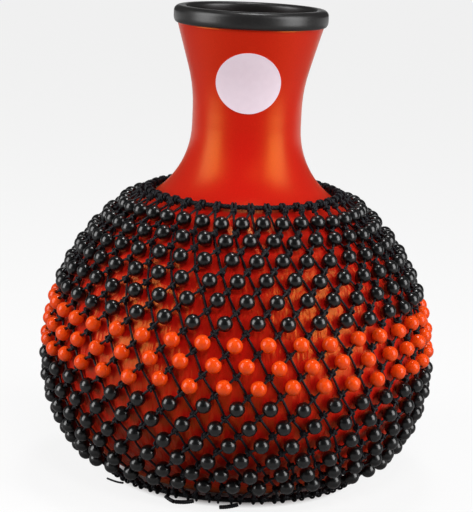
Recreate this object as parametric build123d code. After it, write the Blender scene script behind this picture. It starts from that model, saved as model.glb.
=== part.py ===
from build123d import *
import math
import os

# Shekere: a hollow gourd-shaped shell wearing a loose knotted net of beads.
# Frame: +Z up, origin at the middle of the flat base, the front of the neck faces -Y.
# All lengths are in millimetres and all angles in degrees unless a name says otherwise.

# Shell of the gourd
belly_radius = 114.0
belly_height = 77.3
base_corner_radius = 75.0
shoulder_radius = 52.8
waist_radius = 33.5
waist_length = 10.0
flare_radius = 94.0
flare_angle = 16.0
flare_length = 25.6
lip_height = 8.0
wall = 3.0

# Rubber rim over the lip
rim_outer_wall = 2.7
rim_inner_wall = 2.2
rim_top = 3.2
rim_inner_rise = 1.6
rim_round = 2.4
rim_edge_round = 0.8
rim_clearance = 0.1

# Plain badge on the front of the neck
badge_width = 39.0
badge_height = 37.0
badge_rise = 0.8
badge_thickness = 0.4
badge_gap = 0.05

# Beads, counted in rows from the top and in columns round the belly
columns = 38
top_rows = 6
middle_rows = 3
bottom_rows = 6
bead_diameter = 9.0
bore_clearance = 0.3

# Cords of the net
strand_diameter = 1.4
collar_cord_diameter = 3.2
base_cord_diameter = 3.2
loop_clearance = 0.3
loop_spacing = 1.8
cord_sag = 0.6
knot_bend = 0.6
crossing_bend = 1.5
wrap_round = 0.88

# Knots, one at each crossing of the net and one under each loop of the collar
knot_diameter = 3.7
knot_length = 4.4
knot_crown = 1.8
knot_edge = 0.4
knot_clearance = 0.1
top_knot_fill = 0.85

# Lay of the net on the shell
shell_clearance = 0.3
net_slack = 2.0
collar_rise = 2.5
first_row_drop = 15.9
last_row_rise = 24.5
base_cord_height = 5.5
row_step_taper = 0.88
first_knot_drop = 5.0
first_knot_turn = 0.46
plain_turn_top = 0.265
plain_turn_bottom = 0.40
end_turn = 0.3

# Loose ends of cord at the base
tail_diameter_thick = 2.4
tail_diameter_thin = 1.2
tail_length_long = 16.0
tail_length_middle = 11.0
tail_length_short = 7.0
tail_gap = 0.2
tail_dip = 30.0
tail_spread = 12.0

# Places worked out from the sizes above
bead_rows = top_rows + middle_rows + bottom_rows
bead_radius = bead_diameter / 2
strand_radius = strand_diameter / 2
knot_radius = knot_diameter / 2
pitch_angle = 360 / columns

corner_rise = belly_height - base_corner_radius
corner_center = math.sqrt((belly_radius - base_corner_radius) ** 2 - corner_rise ** 2)
corner_angle = math.pi / 2 + math.atan2(corner_rise, corner_center)

shoulder_center = waist_radius + shoulder_radius
waist_rise = math.sqrt((belly_radius + shoulder_radius) ** 2 - shoulder_center ** 2)
shoulder_angle = math.atan2(shoulder_center, waist_rise)
waist_bottom = belly_height + waist_rise
waist_top = waist_bottom + waist_length

flare_center = waist_radius + flare_radius
flare_turn = math.radians(flare_angle)
flare_top = waist_top + flare_radius * math.sin(flare_turn)
lip_bottom = flare_top + flare_length
lip_top = lip_bottom + lip_height
lip_radius = flare_center - flare_radius * math.cos(flare_turn) + flare_length * math.tan(flare_turn)

# Heights of the net's pieces off the shell
bead_height = shell_clearance + bead_radius
plain_height = shell_clearance + knot_radius
crossing_height = bead_height + cord_sag
collar_loop_radius = collar_cord_diameter / 2 + loop_clearance + strand_radius
base_loop_radius = base_cord_diameter / 2 + loop_clearance + strand_radius
collar_height = shell_clearance + collar_loop_radius + strand_radius
base_height = shell_clearance + base_loop_radius + strand_radius

# Lengths along the net from the foot of the shoulder down
belly_line = belly_radius + bead_height
corner_line = base_corner_radius + bead_height
upper_walk = (math.pi / 2 - shoulder_angle) * belly_line
slack_walk = upper_walk + net_slack
belly_walk = slack_walk + (corner_angle - math.pi / 2) * belly_line
base_cosine = (base_cord_height - base_corner_radius + net_slack) / (base_corner_radius + base_height)
base_walk = belly_walk + (math.acos(base_cosine) - corner_angle) * corner_line


def arc(center, radius, start, end):
    """An arc in the profile plane, from one angle to another, measured from straight up."""
    def point(angle):
        return (center[0] + radius * math.sin(angle), center[1] + radius * math.cos(angle))
    return ThreePointArc(point(start), point((start + end) / 2), point(end))


def profile(inset):
    """The shell's outline from the middle of the base to the lip, moved inwards by inset."""
    corner = arc((corner_center, base_corner_radius), base_corner_radius - inset, math.pi, corner_angle)
    belly = arc((0, belly_height), belly_radius - inset, corner_angle, shoulder_angle)
    shoulder_start = shoulder_angle + math.pi
    shoulder_end = 1.5 * math.pi
    shoulder = arc((shoulder_center, waist_bottom), shoulder_radius + inset, shoulder_start, shoulder_end)
    waist = Line(shoulder @ 1, (waist_radius - inset, waist_top))
    flare_start = 1.5 * math.pi
    flare = arc((flare_center, waist_top), flare_radius + inset, flare_start, flare_start + flare_turn)
    lip_start = lip_bottom + inset * math.tan(flare_turn / 2)
    cone = Line(flare @ 1, (lip_radius - inset, lip_start))
    lip = Line(cone @ 1, (lip_radius - inset, lip_top))
    base = Line((0, inset), corner @ 0)
    return [base, corner, belly, shoulder, waist, flare, cone, lip]


def revolved(edges):
    """A solid turned about the axis of the gourd."""
    return revolve(Plane.XZ * make_face(edges), Axis.Z)


def band(inner_inset, outer_inset):
    """The layer between two copies of the shell's outline, as a solid of revolution."""
    outside = profile(outer_inset)
    inside = profile(inner_inset)
    lip_edge = Line(outside[-1] @ 1, inside[-1] @ 1)
    axis_edge = Line(inside[0] @ 0, outside[0] @ 0)
    return revolved(outside + inside + [lip_edge, axis_edge])


def gourd_shell():
    """The hollow shell, open at the mouth."""
    return band(wall, 0)


def rim_ring():
    """A rubber channel pushed over the lip."""
    outer = lip_radius + rim_outer_wall
    inner = lip_radius - wall - rim_inner_wall
    top = lip_top + rim_top
    ring = Pos(0, 0, lip_bottom) * Cylinder(outer, top - lip_bottom, align=(Align.CENTER, Align.CENTER, Align.MIN))
    ring -= Pos(0, 0, lip_bottom) * Cylinder(inner, top - lip_bottom, align=(Align.CENTER, Align.CENTER, Align.MIN))
    ring = fillet(ring.edges().group_by(Axis.Z)[-1], rim_round)
    lower_edges = ring.edges().filter_by(GeomType.CIRCLE).group_by(Axis.Z)[0]
    ring = fillet(lower_edges.sort_by(SortBy.RADIUS)[-1], rim_edge_round)
    slot_outer = lip_radius + rim_clearance
    slot_inner = lip_radius - wall - rim_clearance
    slot = Pos(0, 0, lip_bottom) * Cylinder(slot_outer, lip_height, align=(Align.CENTER, Align.CENTER, Align.MIN))
    slot -= Pos(0, 0, lip_bottom) * Cylinder(slot_inner, lip_height, align=(Align.CENTER, Align.CENTER, Align.MIN))
    foot = Pos(0, 0, lip_bottom) * Cylinder(slot_outer, rim_inner_rise, align=(Align.CENTER, Align.CENTER, Align.MIN))
    return ring - slot - foot


def badge():
    """A thin plain oval that follows the front of the neck."""
    layer = band(-badge_gap, -badge_gap - badge_thickness)
    middle = (waist_bottom + lip_bottom) / 2 - badge_rise
    outline = Plane((0, 0, middle), x_dir=(1, 0, 0), z_dir=(0, -1, 0)) * Ellipse(badge_width / 2, badge_height / 2)
    return layer & extrude(outline, lip_radius + badge_thickness)


def place(walk, height):
    """Radius and height above the base of a place on the net.

    walk is the length along the bead line below the foot of the shoulder, height is off the shell.
    The lower half hangs net_slack below the shell, so that the whole net can be lifted that far.
    """
    if walk < 0:
        angle = shoulder_angle - walk / (shoulder_radius - bead_height)
        reach = shoulder_radius - height
        return shoulder_center - reach * math.sin(angle), waist_bottom - reach * math.cos(angle)
    if walk < upper_walk:
        angle = shoulder_angle + walk / belly_line
        reach = belly_radius + height
        return reach * math.sin(angle), belly_height + reach * math.cos(angle)
    if walk < slack_walk:
        return belly_radius + height, belly_height - (walk - upper_walk)
    if walk < belly_walk:
        angle = math.pi / 2 + (walk - slack_walk) / belly_line
        reach = belly_radius + height
        return reach * math.sin(angle), belly_height - net_slack + reach * math.cos(angle)
    angle = corner_angle + (walk - belly_walk) / corner_line
    reach = base_corner_radius + height
    return corner_center + reach * math.sin(angle), base_corner_radius - net_slack + reach * math.cos(angle)


def spot(walk, turn, height):
    """A point of the net, with turn counted in columns to the right of the front."""
    radius, rise = place(walk, height)
    angle = math.radians(turn * pitch_angle)
    return Vector(radius * math.sin(angle), -radius * math.cos(angle), rise)


# Rows of beads, and the levels of knots between them
first_row_walk = first_row_drop - collar_rise
last_row_walk = base_walk - last_row_rise
first_step = 2 * (last_row_walk - first_row_walk) / ((bead_rows - 1) * (1 + row_step_taper))
row_walks = [first_row_walk]
for step_number in range(bead_rows - 1):
    share = step_number / (bead_rows - 2)
    row_walks.append(row_walks[-1] + first_step * (1 + (row_step_taper - 1) * share))

knot_walks = [first_knot_drop - collar_rise]
for upper_row, lower_row in zip(row_walks, row_walks[1:]):
    knot_walks.append((upper_row + lower_row) / 2)
knot_walks.append(row_walks[-1] + (row_walks[-1] - row_walks[-2]) / 2)

knot_turns = [first_knot_turn]
for level in range(bead_rows):
    share = level / (bead_rows - 1)
    ease = share * (2 - share)
    knot_turns.append(knot_turns[-1] + plain_turn_top + (plain_turn_bottom - plain_turn_top) * ease)


def crossing(level):
    """Where the beaded leg of the first strand crosses the knots of a level."""
    height = crossing_height
    if level == 0:
        height = collar_height + collar_loop_radius
    return spot(knot_walks[level], knot_turns[level] - level, height)


def bead_middle(row):
    """Middle of the bead that the first strand carries in a row."""
    share = (row_walks[row] - knot_walks[row]) / (knot_walks[row + 1] - knot_walks[row])
    return crossing(row) + (crossing(row + 1) - crossing(row)) * share


def ring_of(piece):
    """Copies of one piece, one in each column."""
    return [Rot(0, 0, column * pitch_angle) * piece for column in range(columns)]


def bead_row(row):
    """One ring of separate drilled beads."""
    bore = Cylinder(strand_radius + bore_clearance, 2 * bead_diameter)
    heading = crossing(row + 1) - crossing(row)
    bead = Plane(origin=bead_middle(row), z_dir=heading) * (Sphere(bead_radius) - bore)
    return Compound(ring_of(bead))


def plain_run(level):
    """The straight run of the plain leg through its knot at a level, as two points."""
    middle = spot(knot_walks[level], knot_turns[level], plain_height)
    behind = spot(knot_walks[level - 1], knot_turns[level - 1], plain_height)
    drop = knot_walks[level] - knot_walks[level - 1]
    turn = knot_turns[level] - knot_turns[level - 1]
    ahead = spot(knot_walks[level] + drop, knot_turns[level] + turn, plain_height)
    along = (ahead - behind).normalized() * (knot_length / 2 + 2 * knot_bend)
    return [middle - along, middle + along]


def collar_wrap():
    """Corners of the cord's way from the plain leg, behind and over the collar cord."""
    radius, rise = place(-collar_rise, collar_height)
    side = knot_turns[0] + math.degrees(loop_spacing / radius) / pitch_angle
    below = -collar_rise + collar_loop_radius
    above = -collar_rise - collar_loop_radius
    behind = collar_height - collar_loop_radius
    before = collar_height + collar_loop_radius
    return [spot(below, side, behind), spot(above, side, behind), spot(above, knot_turns[0], before)]


def base_wrap(turn, start_height, end_height):
    """Corners of the hook at the end of a leg, under and round the base cord."""
    radius, rise = place(base_walk, base_height)
    side = turn + math.degrees(loop_spacing / radius) / pitch_angle
    above = base_walk - base_loop_radius
    below = base_walk + base_loop_radius
    return [
        spot(above, turn, start_height),
        spot(below, turn, start_height),
        spot(below, side, end_height),
        spot(base_walk, side, end_height),
    ]


def bend_radius(before, corner, after, reach):
    """Radius of the arc that rounds a corner over a given reach to either side of it."""
    turn = (corner - before).get_angle(after - corner)
    return reach / math.tan(math.radians(turn) / 2)


def strand():
    """One string hooked on the base cord, led up, over the collar cord and down again."""
    front = base_height + base_loop_radius
    back = base_height - base_loop_radius
    first_hook = base_wrap(knot_turns[-1] + end_turn, back, front)
    last_hook = base_wrap(knot_turns[-1] - bead_rows - end_turn, front, back)
    plain_points = []
    for level in range(1, bead_rows + 1):
        plain_points += plain_run(level)
    bead_points = [crossing(level) for level in range(bead_rows + 1)]
    points = first_hook[::-1] + plain_points[::-1] + collar_wrap() + bead_points + last_hook
    reaches = [base_loop_radius * wrap_round] * 2 + [knot_bend] * (len(plain_points) + 2)
    reaches += [collar_loop_radius * wrap_round] * 2
    reaches += [crossing_bend] * (len(bead_points) + 1) + [base_loop_radius * wrap_round] * 2
    radii = [bend_radius(*corner) for corner in zip(points, points[1:], points[2:], reaches)]
    route = FilletPolyline(*points, radius=radii)
    return sweep(Plane(origin=route @ 0, z_dir=route % 0) * Circle(strand_radius), path=route)


def knot(middle, heading, length):
    """A round lump with a bore, drawn tight on a straight run of cord."""
    bore = strand_radius + knot_clearance
    edge = bore + knot_edge
    half = length / 2
    crown = knot_crown / 2
    upper = [(knot_radius, crown), (edge, half), (bore, half)]
    lower = [(bore, -half), (edge, -half), (knot_radius, -crown)]
    lump = revolve(make_face(Polyline(*upper, *lower, close=True)), Axis.Y)
    return Plane(origin=middle, z_dir=heading) * Rot(90, 0, 0) * lump


def net_knots():
    """Every knot of the net, each on its own cord."""
    heading = crossing(1) - crossing(0)
    free = (bead_middle(0) - crossing(0)).length - bead_radius - crossing_bend
    top = crossing(0) + heading.normalized() * (crossing_bend + free / 2)
    knots = ring_of(knot(top, heading, top_knot_fill * free))
    for level in range(1, bead_rows + 1):
        start, end = plain_run(level)
        knots += ring_of(knot((start + end) / 2, end - start, knot_length))
    return Compound(knots)


def ring_cord(walk, height, diameter):
    """A closed cord that lies round the gourd."""
    radius, rise = place(walk, height)
    return Pos(0, 0, rise) * Torus(radius, diameter / 2)


def tail(column, diameter, length, direction):
    """A short loose end of cord that leaves a loop at the base and lies just above the table."""
    radius, rise = place(base_walk, base_height)
    reach = base_loop_radius + strand_radius + tail_gap + diameter / 2
    dip = math.radians(tail_dip)
    turn = math.radians((knot_turns[-1] + end_turn + column) * pitch_angle)
    outwards = Vector(math.sin(turn), -math.cos(turn), 0)
    right = Vector(math.cos(turn), math.sin(turn), 0)
    along = right * direction
    start = outwards * (radius + reach * math.cos(dip)) + Vector(0, 0, rise - reach * math.sin(dip))
    start += right * loop_spacing - along * strand_diameter
    spread = math.radians(tail_spread)
    heading = along * math.cos(spread) + outwards * math.sin(spread)
    tube = Cylinder(diameter / 2, length, align=(Align.CENTER, Align.CENTER, Align.MIN))
    return Plane(origin=start, z_dir=heading) * tube


def cord_tails():
    """The loose ends that show at the front of the base."""
    return Compound([
        tail(-12, tail_diameter_thin, tail_length_long, -1),
        tail(-9, tail_diameter_thick, tail_length_short, 1),
        tail(-8, tail_diameter_thick, tail_length_middle, -1),
        tail(-6, tail_diameter_thick, tail_length_middle, -1),
    ])


nodes = {
    "gourd_shell": gourd_shell(),
    "rim_ring": rim_ring(),
    "badge": badge(),
    "collar_cord": ring_cord(-collar_rise, collar_height, collar_cord_diameter),
    "base_cord": ring_cord(base_walk, base_height, base_cord_diameter),
    "cord_tails": cord_tails(),
    "net_knots": net_knots(),
}
for row in range(bead_rows):
    nodes[f"beads_row_{row + 1:02d}"] = bead_row(row)
first_strand = strand()
for column in range(columns):
    nodes[f"strand_{column + 1:02d}"] = Rot(0, 0, column * pitch_angle) * first_strand

os.makedirs("parts", exist_ok=True)
for name, solid in nodes.items():
    export_step(solid, f"parts/{name}.step")
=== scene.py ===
import math

import bpy
import numpy as np
from mathutils import Matrix, Vector


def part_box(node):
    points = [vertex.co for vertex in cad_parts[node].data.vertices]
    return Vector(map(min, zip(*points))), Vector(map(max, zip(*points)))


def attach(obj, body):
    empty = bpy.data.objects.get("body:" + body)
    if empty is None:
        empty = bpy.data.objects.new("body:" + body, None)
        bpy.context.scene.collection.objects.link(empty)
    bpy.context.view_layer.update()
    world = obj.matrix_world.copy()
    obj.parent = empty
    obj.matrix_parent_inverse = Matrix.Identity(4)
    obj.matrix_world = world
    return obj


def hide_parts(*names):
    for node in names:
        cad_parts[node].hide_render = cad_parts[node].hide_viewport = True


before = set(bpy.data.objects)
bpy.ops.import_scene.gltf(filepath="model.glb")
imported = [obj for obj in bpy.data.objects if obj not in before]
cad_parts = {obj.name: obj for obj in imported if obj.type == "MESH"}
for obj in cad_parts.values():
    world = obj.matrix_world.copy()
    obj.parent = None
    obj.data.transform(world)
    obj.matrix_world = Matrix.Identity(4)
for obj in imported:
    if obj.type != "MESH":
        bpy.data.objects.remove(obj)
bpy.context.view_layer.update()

MM = 0.001
UP = np.array((0.0, 0.0, 1.0))
rng = np.random.default_rng(7)

# Sizes of the gourd and its net, in millimetres, as in the construction
belly_radius = 114.0
belly_height = 77.3
base_corner_radius = 75.0
shoulder_radius = 52.8
waist_radius = 33.5
columns = 38
bead_rows = 15
orange_rows = (6, 7, 8)
bead_radius = 4.5
strand_radius = 0.7
collar_cord_radius = 1.6
base_cord_radius = 1.6
loop_clearance = 0.3
shell_clearance = 0.3
net_slack = 2.0
collar_rise = 2.5
first_row_drop = 15.9
last_row_rise = 24.5
base_cord_height = 5.5
row_step_taper = 0.88
first_knot_drop = 5.0
first_knot_turn = 0.46
plain_turn_top = 0.265
plain_turn_bottom = 0.40
end_turn = 0.3

# Heights of the cords and knots off the shell
bead_height = shell_clearance + bead_radius
plain_height = 1.7
knot_height = 3.1
crossing_height = 3.8
top_knot_height = 5.0
knot_run = 2.4
bead_run = 4.7
loop_radius = collar_cord_radius + loop_clearance + strand_radius
ring_height = shell_clearance + loop_radius + strand_radius
end_knot_rise = 4.6
bead_float = 0.15

# Drilled beads: how much fuller they are drawn, the bore, a ring inside it, and its softened edge
bead_swell = 0.2
bore_radius = 0.95
bore_round = 0.35
bore_depth = 0.9
bore_edge_width = 0.1
bore_edge_drop = 0.08
bead_sides = 30
bead_arcs = 19

# Cords, tied knots, loops and braids
strand_spacing = 0.5
strand_sides = 10
strand_weave = 0.17
strand_weave_pitch = 2.8
knot_cord_radius = 0.75
knot_width = 5.3
top_knot_width = 4.6
knot_depth = 4.3
base_knot_width = 4.2
base_knot_depth = 3.4
knot_steps = 42
loop_steps = 22
loop_grip = 0.9
bight_sides = 7
collar_loop_side = 0.95
collar_loop_lean = 0.25
base_loop_lean = 0.3
collar_braid_turns = 44
base_braid_turns = 64
braid_steps = 22
carrier_share = 0.36
carrier_lift = 0.12
carrier_sides = 6
core_share = 0.6
core_sides = 8

# Loose ends: column, radius, length and way round of each, and how they lie on the floor
tail_list = ((-12, 0.6, 16.0, -1), (-9, 1.2, 7.0, 1), (-8, 1.2, 11.0, -1), (-6, 1.2, 11.0, -1))
tail_lifts = ((0.0, 1.6), (0.25, 0.7), (0.5, 0.2), (0.75, 0.0), (1.0, 0.1))
tail_outset = 2.9
tail_floor_gap = 0.9
tail_shift = 1.8
tail_start_back = 2.4
tail_bow = 1.98
tail_spacing = 0.3
tail_sides = 14
tail_weave = 0.1
tail_weave_pitch = 2.6

# Rubber rim: widths of the channel and the rounding of its skin
rim_width = 7.9
rim_skin = 2.6
rim_lining = 2.1
rim_cover = 3.1
rim_foot_rise = 0.8
rim_foot_round = 3.8
rim_crest_round = 3.6
rim_mouth_round = 2.4
rim_foot_flat = 0.6
rim_edge = 0.15
rim_sides = 180

# How far pieces stray from an even net
knot_stray = 0.55
bead_stray = 0.6
stray_limit = 1.2
top_stray_share = 0.5

# Places worked out from the sizes above
pitch_angle = 2 * math.pi / columns
corner_rise = belly_height - base_corner_radius
corner_center = math.sqrt((belly_radius - base_corner_radius) ** 2 - corner_rise ** 2)
corner_angle = math.pi / 2 + math.atan2(corner_rise, corner_center)
shoulder_center = waist_radius + shoulder_radius
waist_rise = math.sqrt((belly_radius + shoulder_radius) ** 2 - shoulder_center ** 2)
shoulder_angle = math.atan2(shoulder_center, waist_rise)
waist_bottom = belly_height + waist_rise
belly_line = belly_radius + bead_height
corner_line = base_corner_radius + bead_height
upper_walk = (math.pi / 2 - shoulder_angle) * belly_line
slack_walk = upper_walk + net_slack
belly_walk = slack_walk + (corner_angle - math.pi / 2) * belly_line
base_cosine = (base_cord_height - base_corner_radius + net_slack) / (base_corner_radius + ring_height)
base_walk = belly_walk + (math.acos(base_cosine) - corner_angle) * corner_line


def place(walk, height):
    """Radius and height above the base of a place on the net, in millimetres."""
    if walk < 0:
        angle = shoulder_angle - walk / (shoulder_radius - bead_height)
        reach = shoulder_radius - height
        return shoulder_center - reach * math.sin(angle), waist_bottom - reach * math.cos(angle)
    if walk < upper_walk:
        angle = shoulder_angle + walk / belly_line
        reach = belly_radius + height
        return reach * math.sin(angle), belly_height + reach * math.cos(angle)
    if walk < slack_walk:
        return belly_radius + height, belly_height - (walk - upper_walk)
    if walk < belly_walk:
        angle = math.pi / 2 + (walk - slack_walk) / belly_line
        reach = belly_radius + height
        return reach * math.sin(angle), belly_height - net_slack + reach * math.cos(angle)
    angle = corner_angle + (walk - belly_walk) / corner_line
    reach = base_corner_radius + height
    return corner_center + reach * math.sin(angle), base_corner_radius - net_slack + reach * math.cos(angle)


def spot(walk, turn, height):
    """A point of the net in metres, with turn counted in columns to the right of the front."""
    radius, rise = place(walk, height)
    angle = turn * pitch_angle
    return np.array((radius * math.sin(angle), -radius * math.cos(angle), rise)) * MM


def unit(vector):
    return vector / np.linalg.norm(vector)


def directions(turn):
    """Outward and rightward directions at a turn counted in columns."""
    angle = turn * pitch_angle
    out = np.array((math.sin(angle), -math.cos(angle), 0.0))
    right = np.array((math.cos(angle), math.sin(angle), 0.0))
    return out, right


# Rows of beads, and the levels of knots between them
first_row_walk = first_row_drop - collar_rise
last_row_walk = base_walk - last_row_rise
first_step = 2 * (last_row_walk - first_row_walk) / ((bead_rows - 1) * (1 + row_step_taper))
row_walks = [first_row_walk]
for step_number in range(bead_rows - 1):
    share = step_number / (bead_rows - 2)
    row_walks.append(row_walks[-1] + first_step * (1 + (row_step_taper - 1) * share))
knot_walks = [first_knot_drop - collar_rise]
for upper_row, lower_row in zip(row_walks, row_walks[1:]):
    knot_walks.append((upper_row + lower_row) / 2)
knot_walks.append(row_walks[-1] + (row_walks[-1] - row_walks[-2]) / 2)
knot_turns = [first_knot_turn]
for level in range(bead_rows):
    share = level / (bead_rows - 1)
    ease = share * (2 - share)
    knot_turns.append(knot_turns[-1] + plain_turn_top + (plain_turn_bottom - plain_turn_top) * ease)

# Small strays of the knots and beads, the same for every piece that meets there
knot_shift = np.clip(rng.normal(0, knot_stray, (bead_rows + 1, columns, 2)), -stray_limit, stray_limit)
knot_shift[0] *= top_stray_share
bead_shift = np.clip(rng.normal(0, bead_stray, (bead_rows, columns)), -stray_limit, stray_limit)


def knot_spot(level, column, height):
    """The knot of a level on the plain leg of the strand with that number."""
    shift = knot_shift[level, column % columns]
    walk = knot_walks[level] + shift[0]
    radius, rise = place(walk, height)
    return spot(walk, knot_turns[level] + column + shift[1] / (radius * pitch_angle), height)


def outward(points):
    """Directions away from the middle of the belly."""
    away = points - np.array((0, 0, belly_height * MM))
    return away / np.linalg.norm(away, axis=1)[:, None]


# Meshes

def new_object(name, mesh, material, body):
    """A finished piece of the object that rides on a body."""
    mesh.polygons.foreach_set("use_smooth", np.ones(len(mesh.polygons), dtype=bool))
    mesh.materials.append(material)
    piece = bpy.data.objects.new(name, mesh)
    bpy.context.scene.collection.objects.link(piece)
    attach(piece, body)
    return piece


def joined(name, parts):
    """One mesh out of several lists of points and faces."""
    points = np.concatenate([part[0] for part in parts])
    faces = []
    offset = 0
    for part_points, part_faces in parts:
        faces.extend([[index + offset for index in face] for face in part_faces])
        offset += len(part_points)
    mesh = bpy.data.meshes.new(name)
    mesh.from_pydata(points.tolist(), [], faces)
    mesh.validate()
    return mesh


def grid_faces(rings, sides, closed):
    """Four-sided faces between rings of points, with end caps on an open tube."""
    faces = []
    last = rings if closed else rings - 1
    for ring in range(last):
        near = ring * sides
        far = ((ring + 1) % rings) * sides
        for side in range(sides):
            after = (side + 1) % sides
            faces.append([near + side, near + after, far + after, far + side])
    if not closed:
        faces.append(list(range(sides))[::-1])
        faces.append([(rings - 1) * sides + side for side in range(sides)])
    return faces


def spline_points(controls, spacing):
    """Evenly spaced points along a smooth spline that follows the control points."""
    curve = bpy.data.curves.new("route", "CURVE")
    curve.dimensions = "3D"
    curve.resolution_u = 8
    spline = curve.splines.new("NURBS")
    spline.points.add(len(controls) - 1)
    for point, place_of_it in zip(spline.points, controls):
        point.co = (*place_of_it, 1.0)
    spline.order_u = 3
    spline.use_endpoint_u = True
    carrier = bpy.data.objects.new("route", curve)
    mesh = bpy.data.meshes.new_from_object(carrier)
    line = np.array([vertex.co for vertex in mesh.vertices])
    bpy.data.objects.remove(carrier)
    bpy.data.curves.remove(curve)
    bpy.data.meshes.remove(mesh)
    lengths = np.concatenate(([0], np.cumsum(np.linalg.norm(np.diff(line, axis=0), axis=1))))
    count = max(4, int(round(lengths[-1] / spacing)))
    steps = np.linspace(0, lengths[-1], count + 1)
    return np.stack([np.interp(steps, lengths, line[:, axis]) for axis in range(3)], axis=1)


def tube(line, radius, sides, weave=0.0, weave_pitch=1.0, closed=False, reference=None):
    """A round cord along a line of points; weave raises a braided pattern on its skin."""
    if closed:
        along = np.roll(line, -1, axis=0) - np.roll(line, 1, axis=0)
    else:
        along = np.gradient(line, axis=0)
    along /= np.linalg.norm(along, axis=1)[:, None]
    away = outward(line) if reference is None else np.broadcast_to(reference, line.shape)
    across = np.cross(along, away)
    across /= np.linalg.norm(across, axis=1)[:, None]
    up = np.cross(across, along)
    angles = np.arange(sides) * 2 * math.pi / sides
    walked = np.concatenate(([0], np.cumsum(np.linalg.norm(np.diff(line, axis=0), axis=1))))
    phase = walked[:, None] * 2 * math.pi / weave_pitch
    pattern = np.cos(2 * angles[None, :] + phase) * np.cos(2 * angles[None, :] - phase)
    reach = radius * (1 + weave * pattern)
    points = (line[:, None, :] + (reach * np.cos(angles))[:, :, None] * across[:, None, :]
              + (reach * np.sin(angles))[:, :, None] * up[:, None, :])
    return points.reshape(-1, 3), grid_faces(len(line), sides, closed)


def braid_ring(ring_radius, rise, cord_radius, turns):
    """A braided cord laid in a ring round the axis: four carriers each way over a plain core."""
    carrier_radius = carrier_share * cord_radius
    lift = carrier_lift * cord_radius
    middle = cord_radius - carrier_radius - lift
    steps = turns * braid_steps
    round_angle = np.arange(steps) * 2 * math.pi / steps
    parts = []
    for way in (1, -1):
        for carrier in range(4):
            phase = way * round_angle * turns + carrier * math.pi / 2
            reach = middle + way * lift * np.cos(4 * phase)
            radius = ring_radius + reach * np.cos(phase)
            line = np.stack((radius * np.cos(round_angle), radius * np.sin(round_angle),
                             rise + reach * np.sin(phase)), axis=1)
            parts.append(tube(line, carrier_radius, carrier_sides, closed=True, reference=UP))
    core = np.stack((ring_radius * np.cos(round_angle), ring_radius * np.sin(round_angle),
                     np.full(steps, rise)), axis=1)[::6]
    parts.append(tube(core, core_share * cord_radius, core_sides, closed=True, reference=UP))
    return parts


def knot_lump(middle, heading, width, depth, roll):
    """A tied knot: a cord wound through itself in three bights, drawn tight."""
    steps = np.arange(knot_steps) * 2 * math.pi / knot_steps
    wide = np.sin(steps) + 2 * np.sin(2 * steps)
    tall = np.cos(steps) - 2 * np.cos(2 * steps)
    deep = -np.sin(3 * steps)
    spin = math.cos(roll), math.sin(roll)
    flat_wide = wide * spin[0] - tall * spin[1]
    flat_tall = wide * spin[1] + tall * spin[0]
    cord_radius = knot_cord_radius * MM
    side_scale = (width / 2 - cord_radius) / 3
    deep_scale = depth / 2 - cord_radius
    away = unit(middle - np.array((0, 0, belly_height * MM)))
    across = unit(np.cross(heading, away))
    forward = np.cross(away, across)
    line = (middle + np.outer(flat_wide * side_scale, across) + np.outer(flat_tall * side_scale, forward)
            + np.outer(deep * deep_scale, away))
    return tube(line, cord_radius, bight_sides, closed=True, reference=away)


def ring_loop(walk, turn, height, cord_radius, lean):
    """A loop of strand drawn round a collar or base cord."""
    centre = spot(walk, turn, height)
    out, right = directions(turn)
    steps = np.arange(loop_steps) * 2 * math.pi / loop_steps
    reach = (cord_radius + strand_radius * loop_grip) * MM
    line = (centre + np.outer(reach * np.cos(steps), out) + np.outer(reach * np.sin(steps), UP)
            + np.outer(lean * MM * np.cos(steps), right))
    return tube(line, strand_radius * MM, bight_sides, closed=True, reference=right)


def bead_mesh(middle, axis):
    """A drilled round bead with softened edges at its bore."""
    outer = bead_radius + bead_swell
    edge = math.asin((bore_radius + bore_round) / outer)
    arcs = np.linspace(edge, math.pi - edge, bead_arcs)
    half = outer * math.cos(edge)
    lead = [(bore_radius, half - bore_depth), (bore_radius, half - bore_round),
            (bore_radius + bore_edge_width, half - bore_edge_drop)]
    profile = lead + [(outer * math.sin(a), outer * math.cos(a)) for a in arcs]
    profile += [(r, -z) for r, z in reversed(lead)]
    side = unit(np.cross(axis, UP))
    other = np.cross(axis, side)
    angles = np.arange(bead_sides) * 2 * math.pi / bead_sides
    wheel = np.outer(np.cos(angles), side) + np.outer(np.sin(angles), other)
    points = np.concatenate([middle + wheel * (r * MM) + axis * (z * MM) for r, z in profile])
    return points, grid_faces(len(profile), bead_sides, True)


def bead_place(row, strand):
    """Middle and direction of the bead of a row on the beaded leg of a strand."""
    above = knot_spot(row, strand - row, bead_height)
    below = knot_spot(row + 1, strand - row - 1, bead_height)
    share = (row_walks[row] - knot_walks[row]) / (knot_walks[row + 1] - knot_walks[row])
    upper = knot_shift[row, (strand - row) % columns]
    lower = knot_shift[row + 1, (strand - row - 1) % columns]
    walk = row_walks[row] + upper[0] * (1 - share) + lower[0] * share
    upper_turn = knot_turns[row] - row + strand
    lower_turn = knot_turns[row + 1] - row - 1 + strand
    turn = upper_turn * (1 - share) + lower_turn * share
    middle = spot(walk, turn, bead_height + bead_float)
    axis = unit(below - above)
    return middle + axis * bead_shift[row, strand % columns] * MM, axis


# Materials

def new_material(name):
    """An empty node material with its shader."""
    material = bpy.data.materials.new(name)
    material.use_nodes = True
    tree = material.node_tree
    return material, tree.nodes, tree.links, tree.nodes["Principled BSDF"]


def add_node(nodes, kind, **values):
    """A node with some of its inputs set by name."""
    node = nodes.new(kind)
    for name, value in values.items():
        node.inputs[name.replace("_", " ")].default_value = value
    return node


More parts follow.
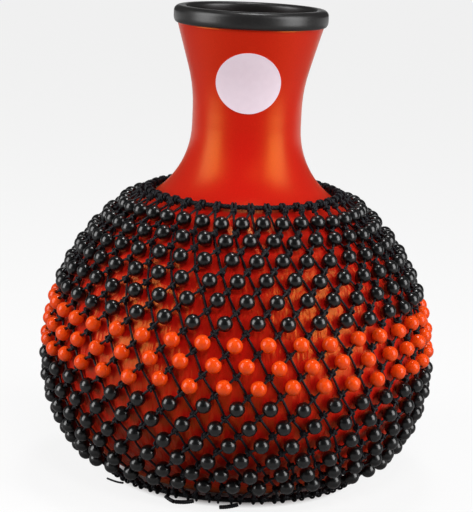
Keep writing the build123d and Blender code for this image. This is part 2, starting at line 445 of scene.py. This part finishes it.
def working_node(nodes, links, kind, operation, *values):
    """A math node whose inputs are constants or the outputs of other nodes."""
    node = nodes.new(kind)
    node.operation = operation
    for socket, value in zip(node.inputs, values):
        if isinstance(value, bpy.types.NodeSocket):
            links.new(value, socket)
        else:
            socket.default_value = value
    return node


def number_node(nodes, links, operation, *values):
    """The result of a math node."""
    return working_node(nodes, links, "ShaderNodeMath", operation, *values).outputs["Value"]


def vector_node(nodes, links, operation, *values, result="Vector"):
    """The result of a vector math node, by the name of its output."""
    return working_node(nodes, links, "ShaderNodeVectorMath", operation, *values).outputs[result]


def noise_bump(nodes, links, shader, scale, strength, distance):
    """Fine relief from noise in the object's own space."""
    space = nodes.new("ShaderNodeTexCoord")
    noise = add_node(nodes, "ShaderNodeTexNoise", Scale=scale, Detail=3.0)
    bump = add_node(nodes, "ShaderNodeBump", Strength=strength, Distance=distance)
    links.new(space.outputs["Object"], noise.inputs["Vector"])
    links.new(noise.outputs["Fac"], bump.inputs["Height"])
    links.new(bump.outputs["Normal"], shader.inputs["Normal"])
    return noise.outputs["Fac"]


def colour_between(nodes, links, shader, factor, first, second):
    """Base colour that drifts between two tones with a factor."""
    ramp = nodes.new("ShaderNodeValToRGB")
    ramp.color_ramp.elements[0].position = 0.35
    ramp.color_ramp.elements[0].color = (*first, 1)
    ramp.color_ramp.elements[1].position = 0.65
    ramp.color_ramp.elements[1].color = (*second, 1)
    links.new(factor, ramp.inputs["Fac"])
    links.new(ramp.outputs["Color"], shader.inputs["Base Color"])


def shell_material():
    """Deep red metallic lacquer with fine flake outside, bare dull lining inside."""
    material, nodes, links, shader = new_material("candy_red")
    space = nodes.new("ShaderNodeTexCoord")
    flake = add_node(nodes, "ShaderNodeTexVoronoi", Scale=2600.0)
    links.new(space.outputs["Object"], flake.inputs["Vector"])
    mottle = add_node(nodes, "ShaderNodeTexNoise", Scale=30.0, Detail=2.0)
    links.new(space.outputs["Object"], mottle.inputs["Vector"])
    # The inside is where the surface faces the axis
    flat = vector_node(nodes, links, "MULTIPLY", space.outputs["Object"], (1, 1, 0))
    facing = vector_node(nodes, links, "DOT_PRODUCT", flat, space.outputs["Normal"], result="Value")
    inside = number_node(nodes, links, "LESS_THAN", facing, -0.002)
    ramp = nodes.new("ShaderNodeValToRGB")
    ramp.color_ramp.elements[0].color = (0.53, 0.005, 0.005, 1)
    ramp.color_ramp.elements[1].color = (0.62, 0.008, 0.006, 1)
    links.new(flake.outputs["Color"], ramp.inputs["Fac"])
    lining = nodes.new("ShaderNodeMix")
    lining.data_type = "RGBA"
    lining.inputs["B"].default_value = (0.10, 0.02, 0.015, 1)
    links.new(ramp.outputs["Color"], lining.inputs["A"])
    links.new(inside, lining.inputs["Factor"])
    links.new(lining.outputs["Result"], shader.inputs["Base Color"])
    rough = nodes.new("ShaderNodeMapRange")
    rough.inputs["To Min"].default_value = 0.31
    rough.inputs["To Max"].default_value = 0.37
    links.new(mottle.outputs["Fac"], rough.inputs["Value"])
    roughness = nodes.new("ShaderNodeMix")
    roughness.inputs["B"].default_value = 0.8
    links.new(inside, roughness.inputs["Factor"])
    links.new(rough.outputs["Result"], roughness.inputs["A"])
    links.new(roughness.outputs["Result"], shader.inputs["Roughness"])
    shader.inputs["Specular IOR Level"].default_value = 0.75
    shader.inputs["Specular Tint"].default_value = (1.0, 0.5, 0.05, 1)
    shader.inputs["Sheen Weight"].default_value = 0.3
    shader.inputs["Sheen Roughness"].default_value = 0.45
    shader.inputs["Sheen Tint"].default_value = (1.0, 0.33, 0.04, 1)
    bump = add_node(nodes, "ShaderNodeBump", Strength=0.05, Distance=0.0002)
    links.new(flake.outputs["Distance"], bump.inputs["Height"])
    # Fine upright streaks, on the belly only
    upright = vector_node(nodes, links, "MULTIPLY", space.outputs["Object"], (1, 1, 0.04))
    streak = add_node(nodes, "ShaderNodeTexNoise", Scale=380.0, Detail=1.0)
    links.new(upright, streak.inputs["Vector"])
    axes = nodes.new("ShaderNodeSeparateXYZ")
    links.new(space.outputs["Object"], axes.inputs["Vector"])
    on_belly = add_node(nodes, "ShaderNodeMapRange", From_Min=0.17, From_Max=0.14)
    links.new(axes.outputs["Z"], on_belly.inputs["Value"])
    streak_height = number_node(nodes, links, "MULTIPLY", streak.outputs["Fac"], on_belly.outputs["Result"])
    streaks = add_node(nodes, "ShaderNodeBump", Strength=0.8, Distance=0.001)
    links.new(streak_height, streaks.inputs["Height"])
    links.new(bump.outputs["Normal"], streaks.inputs["Normal"])
    links.new(streaks.outputs["Normal"], shader.inputs["Normal"])
    return material


def bead_material(name, first, second, gloss):
    """Polished plastic with a faint cloudiness."""
    material, nodes, links, shader = new_material(name)
    noise = noise_bump(nodes, links, shader, 420.0, 0.04, 0.0004)
    colour_between(nodes, links, shader, noise, first, second)
    shader.inputs["Roughness"].default_value = 0.3
    shader.inputs["Specular IOR Level"].default_value = gloss
    shader.inputs["Coat Weight"].default_value = 0.5
    shader.inputs["Coat Roughness"].default_value = 0.05
    return material


def cord_material():
    """Dark braided polyester."""
    material, nodes, links, shader = new_material("braided_cord")
    noise = noise_bump(nodes, links, shader, 1800.0, 0.35, 0.0003)
    colour_between(nodes, links, shader, noise, (0.0010, 0.0010, 0.0015), (0.012, 0.013, 0.018))
    shader.inputs["Roughness"].default_value = 0.5
    shader.inputs["Specular IOR Level"].default_value = 0.3
    return material


def rim_material():
    """Black satin rubber."""
    material, nodes, links, shader = new_material("rim_rubber")
    noise = noise_bump(nodes, links, shader, 900.0, 0.12, 0.0003)
    colour_between(nodes, links, shader, noise, (0.009, 0.0085, 0.0085), (0.015, 0.014, 0.014))
    shader.inputs["Roughness"].default_value = 0.36
    shader.inputs["Specular IOR Level"].default_value = 0.6
    return material


def badge_material():
    """A bare pale label with a slight sheen."""
    material, nodes, links, shader = new_material("badge_pale")
    noise = noise_bump(nodes, links, shader, 260.0, 0.05, 0.0002)
    colour_between(nodes, links, shader, noise, (0.86, 0.715, 0.80), (0.88, 0.735, 0.82))
    shader.inputs["Roughness"].default_value = 0.38
    return material


red = shell_material()
black_bead = bead_material("bead_black", (0.0012, 0.0012, 0.0014), (0.0025, 0.0025, 0.0028), 0.5)
orange_bead = bead_material("bead_orange", (0.80, 0.056, 0.003), (0.86, 0.078, 0.005), 0.1)
cord_black = cord_material()

for node, material in (("gourd_shell", red), ("badge", badge_material())):
    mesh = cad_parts[node].data
    mesh.materials.clear()
    mesh.materials.append(material)

# Rubber rim: a channel over the lip whose skin swells in a soft round
rim_low, rim_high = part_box("rim_ring")
rim_outer = rim_high[0] / MM
rim_inner = rim_outer - rim_width
rim_foot = rim_low[2] / MM + rim_foot_rise
rim_crest = rim_high[2] / MM
slot_outer = rim_outer - rim_skin
slot_inner = rim_inner + rim_lining
slot_top = rim_crest - rim_cover
quarter = np.linspace(0, math.pi / 2, 10)
foot_start = slot_outer + rim_foot_flat
foot_reach = rim_skin - rim_foot_flat
profile = [(slot_outer, rim_foot + rim_edge), (slot_outer + rim_edge, rim_foot)]
profile += [(foot_start + foot_reach * math.sin(a), rim_foot + rim_foot_round * (1 - math.cos(a)))
            for a in quarter]
profile += [(rim_outer - rim_crest_round * (1 - math.cos(a)), rim_crest - rim_crest_round * (1 - math.sin(a)))
            for a in quarter]
profile += [(rim_inner + rim_mouth_round * (1 - math.sin(a)), rim_crest - rim_mouth_round * (1 - math.cos(a)))
            for a in quarter]
profile += [(rim_inner, rim_foot + rim_edge), (rim_inner + rim_edge, rim_foot)]
profile += [(slot_inner - rim_edge, rim_foot), (slot_inner, rim_foot + rim_edge)]
profile += [(slot_inner, slot_top), (slot_outer, slot_top)]
wheel_angles = np.arange(rim_sides) * 2 * math.pi / rim_sides
rings = [np.array([(r * math.cos(a), r * math.sin(a), z) for r, z in profile]) * MM for a in wheel_angles]
rim_faces = grid_faces(len(rings), len(profile), True)
rim = new_object("rim_swell", joined("rim_swell", [(np.concatenate(rings), rim_faces)]), rim_material(),
                 "gourd")
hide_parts("rim_ring")

# Beads, one ring to a row
bead_places = [[bead_place(row, strand) for strand in range(columns)] for row in range(bead_rows)]
for row in range(bead_rows):
    orange = row in orange_rows
    mesh = joined(f"bead_ring_{row + 1:02d}", [bead_mesh(*place_of_it) for place_of_it in bead_places[row]])
    ring = new_object(f"bead_ring_{row + 1:02d}", mesh, orange_bead if orange else black_bead, "net")
    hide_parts(f"beads_row_{row + 1:02d}")

# Cords, each with its plain leg and its beaded leg
plain_ends = []
bead_ends = []
for strand in range(columns):
    top = knot_spot(0, strand, top_knot_height)
    plain = [top]
    for level in range(1, bead_rows + 1):
        middle = knot_spot(level, strand, plain_height)
        behind = knot_spot(level - 1, strand, plain_height)
        along = unit(middle - behind) * knot_run * MM
        plain += [middle - along, middle + along]
    plain_ends.append(knot_turns[-1] + strand + end_turn)
    plain.append(spot(base_walk - end_knot_rise, plain_ends[-1], ring_height))
    beaded = [top]
    for row in range(bead_rows):
        middle, axis = bead_places[row][strand]
        beaded += [middle - axis * bead_run * MM, middle + axis * bead_run * MM]
        beaded.append(knot_spot(row + 1, strand - row - 1, crossing_height))
    bead_ends.append(knot_turns[-1] + strand - bead_rows - end_turn)
    beaded.append(spot(base_walk - end_knot_rise, bead_ends[-1], ring_height))
    legs = []
    for leg in (plain, beaded):
        line = spline_points(leg, strand_spacing * MM)
        legs.append(tube(line, strand_radius * MM, strand_sides, strand_weave, strand_weave_pitch * MM))
    mesh = joined(f"cord_{strand + 1:02d}", legs)
    cord = new_object(f"cord_{strand + 1:02d}", mesh, cord_black, "net")
    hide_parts(f"strand_{strand + 1:02d}")

# Knots, level by level
for level in range(bead_rows + 1):
    lumps = []
    for column in range(columns):
        height = knot_height if level else top_knot_height
        middle = knot_spot(level, column, height)
        ahead = knot_spot(level, column + 1, height)
        width = (knot_width if level else top_knot_width) * MM
        lumps.append(knot_lump(middle, ahead - middle, width, knot_depth * MM, rng.uniform(0, 2 * math.pi)))
    mesh = joined(f"knot_level_{level:02d}", lumps)
    knots = new_object(f"knot_level_{level:02d}", mesh, cord_black, "net")
    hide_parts("net_knots")

# Loops on the collar cord, and knots and loops on the base cord
collar_loops = []
radius, rise = place(-collar_rise, ring_height)
for strand in range(columns):
    for side in (-collar_loop_side, collar_loop_side):
        turn = knot_turns[0] + strand + side / (radius * pitch_angle)
        lean = side * collar_loop_lean
        collar_loops.append(ring_loop(-collar_rise, turn, ring_height, collar_cord_radius, lean))
new_object("collar_loops", joined("collar_loops", collar_loops), cord_black, "net")
base_ties = []
for turn in plain_ends + bead_ends:
    base_ties.append(ring_loop(base_walk, turn, ring_height, base_cord_radius, base_loop_lean))
    middle = spot(base_walk - end_knot_rise, turn, ring_height)
    ahead = spot(base_walk - end_knot_rise, turn + 1, ring_height)
    base_ties.append(knot_lump(middle, ahead - middle, base_knot_width * MM, base_knot_depth * MM,
                               rng.uniform(0, 2 * math.pi)))
new_object("base_ties", joined("base_ties", base_ties), cord_black, "net")

# The two braided ring cords
braid = braid_ring(radius * MM, rise * MM, collar_cord_radius * MM, collar_braid_turns)
collar = new_object("collar_braid", joined("collar_braid", braid), cord_black, "collar")
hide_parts("collar_cord")
radius, rise = place(base_walk, ring_height)
braid = braid_ring(radius * MM, rise * MM, base_cord_radius * MM, base_braid_turns)
base = new_object("base_braid", joined("base_braid", braid), cord_black, "net")
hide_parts("base_cord")

# Loose ends of cord at the base
tail_pieces = []
for column, tail_radius, length, way in tail_list:
    turn = knot_turns[-1] + end_turn + column
    out, right = directions(turn)
    start = spot(base_walk, turn, ring_height) + out * tail_outset * MM
    start[2] = (tail_radius + tail_floor_gap) * MM
    start += right * (tail_shift - way * tail_start_back) * MM
    controls = []
    for share, lift in tail_lifts:
        along = right * way * share * length + out * tail_bow * share * share
        controls.append(start + (along + UP * lift) * MM)
    line = spline_points(controls, tail_spacing * MM)
    tail_pieces.append(tube(line, tail_radius * MM, tail_sides, tail_weave, tail_weave_pitch * MM,
                            reference=UP))
tails = new_object("loose_ends", joined("loose_ends", tail_pieces), cord_black, "net")
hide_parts("cord_tails")

# Floor and backdrop

def backdrop_share(nodes, links, place_output, start):
    """Share of the white set that a ray sees: all of it in the picture, only its far back in reflections."""
    path = nodes.new("ShaderNodeLightPath")
    axes = nodes.new("ShaderNodeSeparateXYZ")
    links.new(place_output, axes.inputs["Vector"])
    behind = number_node(nodes, links, "GREATER_THAN", axes.outputs["Y"], start)
    bounced = number_node(nodes, links, "MAXIMUM", path.outputs["Is Glossy Ray"],
                          path.outputs["Is Transmission Ray"])
    mirrored = number_node(nodes, links, "MULTIPLY", bounced, behind)
    return number_node(nodes, links, "MAXIMUM", path.outputs["Is Camera Ray"], mirrored)


def mixed(nodes, links, share, first, second, output_kind):
    """The output of a node tree: two shaders mixed by a share."""
    both = nodes.new("ShaderNodeMixShader")
    surface = nodes.new(output_kind)
    links.new(share, both.inputs["Fac"])
    links.new(first, both.inputs[1])
    links.new(second, both.inputs[2])
    links.new(both.outputs["Shader"], surface.inputs["Surface"])


# White floor that keeps the shadow under and round the gourd
floor_reach = 6
floor_glow = 0.86
floor_far_back = 1.0
shade_radius = 0.066
open_radius = 0.078
corners = [(x * floor_reach, y * floor_reach, 0) for x, y in ((-1, -1), (1, -1), (1, 1), (-1, 1))]
floor_mesh = bpy.data.meshes.new("floor")
floor_mesh.from_pydata(corners, [], [(0, 1, 2, 3)])
floor = bpy.data.objects.new("floor", floor_mesh)
bpy.context.scene.collection.objects.link(floor)
floor_material = bpy.data.materials.new("floor_white")
floor_material.use_nodes = True
nodes = floor_material.node_tree.nodes
links = floor_material.node_tree.links
nodes.clear()
spread = nodes.new("ShaderNodeNewGeometry")
pale = nodes.new("ShaderNodeMix")
pale.data_type = "RGBA"
pale.inputs["A"].default_value = (0.3, 0.3, 0.3, 1)
pale.inputs["B"].default_value = (0.9, 0.9, 0.9, 1)
lit = nodes.new("ShaderNodeBsdfDiffuse")
links.new(nodes.new("ShaderNodeLightPath").outputs["Is Camera Ray"], pale.inputs["Factor"])
links.new(pale.outputs["Result"], lit.inputs["Color"])
glow = add_node(nodes, "ShaderNodeEmission", Color=(1, 1, 1, 1), Strength=1.0)
share_seen = backdrop_share(nodes, links, spread.outputs["Position"], floor_far_back)
share_of_glow = number_node(nodes, links, "MULTIPLY", share_seen, floor_glow)
from_axis = vector_node(nodes, links, "LENGTH", spread.outputs["Position"], result="Value")
in_the_open = add_node(nodes, "ShaderNodeMapRange", From_Min=shade_radius, From_Max=open_radius)
links.new(from_axis, in_the_open.inputs["Value"])
open_glow = number_node(nodes, links, "MULTIPLY", share_of_glow, in_the_open.outputs["Result"])
mixed(nodes, links, open_glow, lit.outputs["BSDF"], glow.outputs["Emission"], "ShaderNodeOutputMaterial")
floor_mesh.materials.append(floor_material)

# World: white to the camera, soft and dimmer as a light
world_far_back = 0.98
world = bpy.data.worlds.new("studio")
bpy.context.scene.world = world
world.use_nodes = True
nodes = world.node_tree.nodes
links = world.node_tree.links
nodes.clear()
direction = nodes.new("ShaderNodeTexCoord")
seen = add_node(nodes, "ShaderNodeBackground", Color=(1, 1, 1, 1), Strength=1.0)
ambient = add_node(nodes, "ShaderNodeBackground", Color=(1, 1, 1, 1), Strength=0.06)
share_seen = backdrop_share(nodes, links, direction.outputs["Generated"], world_far_back)
mixed(nodes, links, share_seen, ambient.outputs["Background"], seen.outputs["Background"],
      "ShaderNodeOutputWorld")


def soft_light(name, place_of_it, aim, size, power):
    """A rectangular soft box aimed at a point."""
    light = bpy.data.lights.new(name, "AREA")
    light.shape = "RECTANGLE"
    light.size, light.size_y = size
    light.energy = power
    lamp = bpy.data.objects.new(name, light)
    bpy.context.scene.collection.objects.link(lamp)
    lamp.location = place_of_it
    lamp.rotation_euler = (Vector(aim) - Vector(place_of_it)).to_track_quat("-Z", "Y").to_euler()
    return lamp


middle_of_it = (0.0, 0.0, 0.14)
soft_light("left_box", (-1.15, -0.42, 0.55), middle_of_it, (0.8, 1.3), 15)
soft_light("right_box", (1.10, -0.52, 0.60), middle_of_it, (0.8, 1.3), 16)
soft_light("top_box", (0.05, 0.12, 1.45), middle_of_it, (0.26, 0.26), 4.5)
front_key = soft_light("front_key", (0.20, -1.25, 1.40), middle_of_it, (0.5, 0.4), 10.5)
front_key.visible_glossy = False

# Camera at the photograph's place
camera_data = bpy.data.cameras.new("camera")
camera_data.lens = 137.5
camera_data.sensor_width = 36.0
camera = bpy.data.objects.new("camera", camera_data)
bpy.context.scene.collection.objects.link(camera)
bpy.context.scene.camera = camera
camera_place = (0.0, -1.1952, 0.3801)
camera_pitch = math.radians(11.45)
camera_yaw = math.radians(0.125)
camera_roll = math.radians(2.5)
look = Matrix.Rotation(camera_yaw, 4, "Z") @ Matrix.Rotation(math.pi / 2 - camera_pitch, 4, "X")
camera.matrix_world = Matrix.Translation(camera_place) @ look @ Matrix.Rotation(camera_roll, 4, "Z")

bpy.context.scene.view_settings.view_transform = "Standard"
